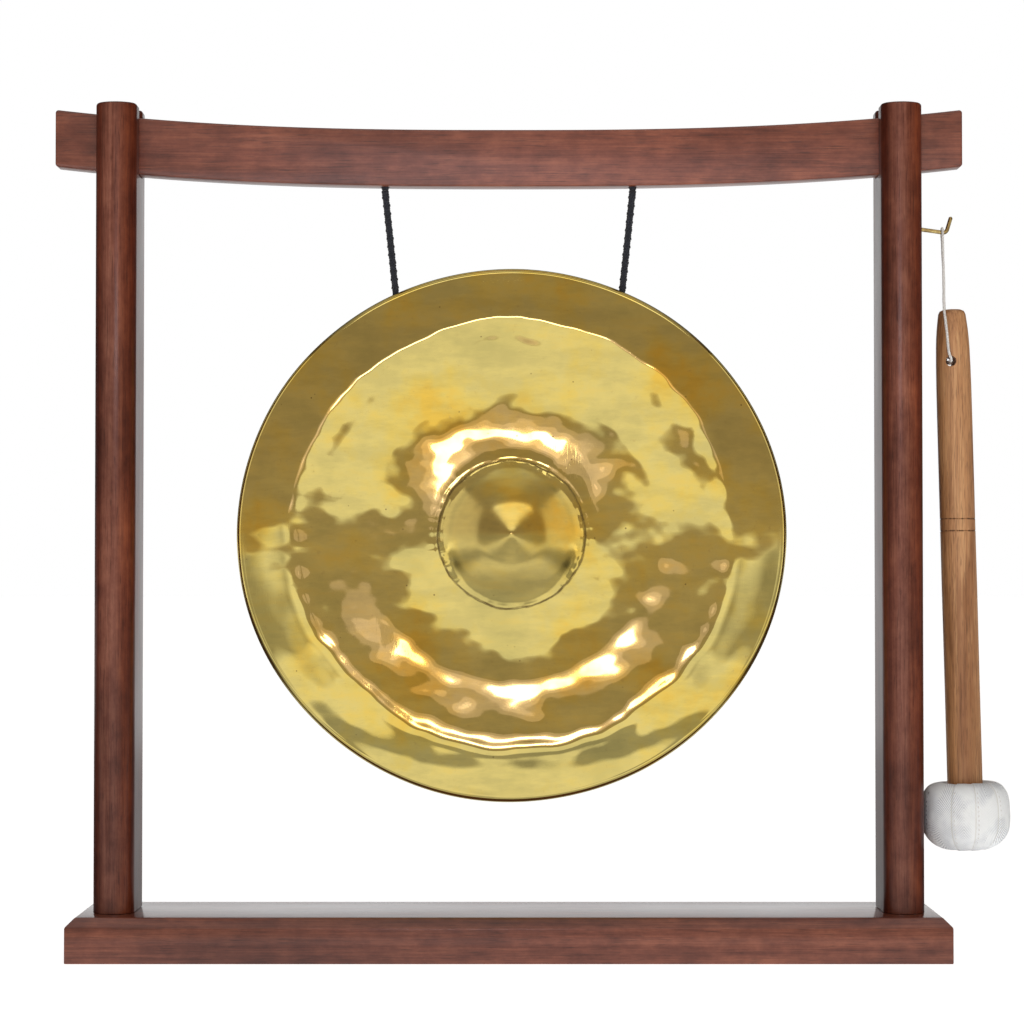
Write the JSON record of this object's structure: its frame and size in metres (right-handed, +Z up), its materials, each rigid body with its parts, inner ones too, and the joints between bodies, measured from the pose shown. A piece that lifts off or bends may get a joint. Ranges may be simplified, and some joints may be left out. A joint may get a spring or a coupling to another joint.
{
  "type": "table gong on stand",
  "caption": "Bossed brass gong hung on ropes in a slotted wooden table stand, with a padded mallet hanging on a wire hook.",
  "frame": {"origin": "middle of the base board's underside", "axes": "+Z up, the gong's boss faces -Y, the mallet hangs on the +X side"},
  "size_m": [0.5181, 0.086, 0.46],
  "materials": {
    "stand_wood": "dark red-brown stain under gloss varnish",
    "gong_brass": "hand-hammered and polished",
    "hook_brass": "drawn wire",
    "black_rope": "braided cord",
    "white_string": "twisted cotton string",
    "handle_wood": "turned and oiled",
    "cotton_tape": "herringbone twill tape",
    "felt": "wound felt",
    "core_rubber": "matte",
    "screw_steel": "zinc plated"
  },
  "bodies": {
    "stand": {"base_board": "stand_wood", "post_left": "stand_wood", "post_right": "stand_wood", "crossbar": "stand_wood", "base_screw_left_front": "screw_steel", "base_screw_left_back": "screw_steel", "base_screw_right_front": "screw_steel", "base_screw_right_back": "screw_steel", "crossbar_screw_left": "screw_steel", "crossbar_screw_right": "screw_steel", "rope_anchor_left": "black_rope", "rope_anchor_right": "black_rope", "mallet_hook": "hook_brass"},
    "ropes": {"rope_left": "black_rope", "rope_right": "black_rope"},
    "gong": {"gong_disc": "gong_brass", "rim_knot_left": "black_rope", "rim_knot_right": "black_rope"},
    "string_eye": {"string_eye": "white_string"},
    "mallet_string": {"mallet_string": "white_string"},
    "mallet": {"mallet_handle": "handle_wood", "mallet_core": "core_rubber", "mallet_padding": "felt", "mallet_cover": "cotton_tape"}
  },
  "joints": [
    {"name": "ropes_swing", "type": "hinge", "parent": "stand", "child": "ropes", "pos_m": [0, 0, 0.41448], "axis": [1, 0, 0], "range_deg": [-30, 30]},
    {"name": "gong_tilt", "type": "hinge", "parent": "ropes", "child": "gong", "pos_m": [0, 0, 0.3573], "axis": [1, 0, 0], "range_deg": [-20, 20]},
    {"name": "mallet_unhook", "type": "slide", "parent": "stand", "child": "string_eye", "axis": [0.2924, 0, 0.9563], "range_m": [0, 0.025]},
    {"name": "string_swing", "type": "hinge", "parent": "string_eye", "child": "mallet_string", "pos_m": [0.2363, 0, 0.39202], "axis": [1, 0, 0], "range_deg": [-30, 30]},
    {"name": "mallet_swing_out", "type": "hinge", "parent": "mallet_string", "child": "mallet", "pos_m": [0.2396, 0, 0.3211], "axis": [0, -1, 0], "range_deg": [0, 12]}
  ]
}
